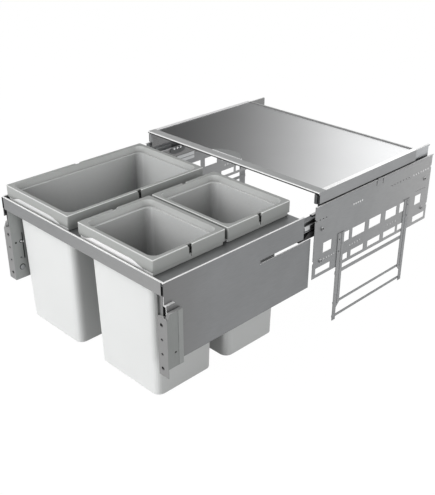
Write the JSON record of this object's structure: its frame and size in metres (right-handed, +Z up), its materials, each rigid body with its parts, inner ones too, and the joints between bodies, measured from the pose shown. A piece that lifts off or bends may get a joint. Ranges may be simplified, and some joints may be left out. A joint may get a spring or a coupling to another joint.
{
  "type": "pull-out waste bin unit for a base cabinet",
  "caption": "Pull-out drawer frame with lift-out bins and clamping collars, on telescopic slides between punched side plates with legs, under a sliding steel cover.",
  "frame": {"origin": "on the cabinet floor, midway between the side plates, in line with their front edges", "axes": "+X to the right seen from the front, +Y into the cabinet, +Z up"},
  "size_m": [0.568, 0.893, 0.3572],
  "materials": {
    "zinc_plate": "zinc plated sheet, satin",
    "zinc_leg": "zinc plated sheet and wire, satin",
    "zinc_carrier": "zinc plated sheet, satin",
    "zinc_front": "zinc plated sheet, satin",
    "zinc_bracket": "zinc plated sheet, satin",
    "rail_steel": "rolled bright steel",
    "stop_plastic": "moulded black",
    "adjuster_steel": "turned, bright zinc",
    "cover_steel": "stainless sheet, brushed across",
    "cover_profile_steel": "rolled stainless, satin",
    "bin_plastic": "moulded light grey, satin",
    "collar_plastic": "moulded grey, satin"
  },
  "bodies": {
    "cabinet_mount": {"side_plate_right": "zinc_plate", "side_plate_left": "zinc_plate", "leg_front_right": "zinc_leg", "leg_front_left": "zinc_leg", "leg_rear_right": "zinc_leg", "leg_rear_left": "zinc_leg", "leg_tie_right": "zinc_leg", "leg_tie_left": "zinc_leg", "leg_stays_right": "zinc_leg", "leg_stays_left": "zinc_leg", "rail_support_right": "rail_steel", "rail_support_left": "rail_steel", "outer_rail_right": "rail_steel", "outer_rail_left": "rail_steel", "rail_stop_right": "stop_plastic", "rail_stop_left": "stop_plastic", "cover_rail_right": "rail_steel", "cover_rail_left": "rail_steel"},
    "middle_rail_right_body": {"middle_rail_right": "rail_steel"},
    "middle_rail_left_body": {"middle_rail_left": "rail_steel"},
    "drawer": {"inner_rail_right": "rail_steel", "inner_rail_left": "rail_steel", "carrier_panel_right": "zinc_carrier", "carrier_panel_left": "zinc_carrier", "carrier_front_band": "zinc_front", "carrier_rear_band": "zinc_carrier", "carrier_deck": "zinc_carrier", "door_bracket_right": "zinc_bracket", "door_bracket_left": "zinc_bracket", "bracket_adjusters_right": "adjuster_steel", "bracket_adjusters_left": "adjuster_steel"},
    "cover": {"cover_sheet": "cover_steel", "cover_front_trim": "cover_steel", "cover_rear_lip": "cover_steel", "cover_grip": "cover_steel", "cover_profile_right": "cover_profile_steel", "cover_profile_left": "cover_profile_steel"},
    "large_bin": {"bin_large": "bin_plastic"},
    "small_bin_front": {"bin_small_front": "bin_plastic"},
    "small_bin_rear": {"bin_small_rear": "bin_plastic"},
    "large_collar": {"collar_large": "collar_plastic"},
    "small_collar_front": {"collar_small_front": "collar_plastic"},
    "small_collar_rear": {"collar_small_rear": "collar_plastic"}
  },
  "joints": [
    {"name": "drawer_slide", "type": "slide", "parent": "cabinet_mount", "child": "drawer", "axis": [0, -1, 0], "range_m": [-0.38, 0]},
    {"name": "middle_rail_right_slide", "type": "slide", "parent": "cabinet_mount", "child": "middle_rail_right_body", "axis": [0, -1, 0], "range_m": [-0.19, 0]},
    {"name": "middle_rail_left_slide", "type": "slide", "parent": "cabinet_mount", "child": "middle_rail_left_body", "axis": [0, -1, 0], "range_m": [-0.19, 0]},
    {"name": "cover_slide", "type": "slide", "parent": "cabinet_mount", "child": "cover", "axis": [0, 1, 0], "range_m": [-0.25, 0]},
    {"name": "large_bin_lift", "type": "slide", "parent": "drawer", "child": "large_bin", "axis": [0, 0, 1], "range_m": [0, 0.45]},
    {"name": "small_bin_front_lift", "type": "slide", "parent": "drawer", "child": "small_bin_front", "axis": [0, 0, 1], "range_m": [0, 0.45]},
    {"name": "small_bin_rear_lift", "type": "slide", "parent": "drawer", "child": "small_bin_rear", "axis": [0, 0, 1], "range_m": [0, 0.45]},
    {"name": "large_collar_lift", "type": "slide", "parent": "large_bin", "child": "large_collar", "axis": [0, 0, 1], "range_m": [0, 0.1]},
    {"name": "small_collar_front_lift", "type": "slide", "parent": "small_bin_front", "child": "small_collar_front", "axis": [0, 0, 1], "range_m": [0, 0.1]},
    {"name": "small_collar_rear_lift", "type": "slide", "parent": "small_bin_rear", "child": "small_collar_rear", "axis": [0, 0, 1], "range_m": [0, 0.1]}
  ],
  "couplings": [
    {"joint": "middle_rail_right_slide", "follows": "drawer_slide", "ratio": 0.5},
    {"joint": "middle_rail_left_slide", "follows": "drawer_slide", "ratio": 0.5}
  ]
}
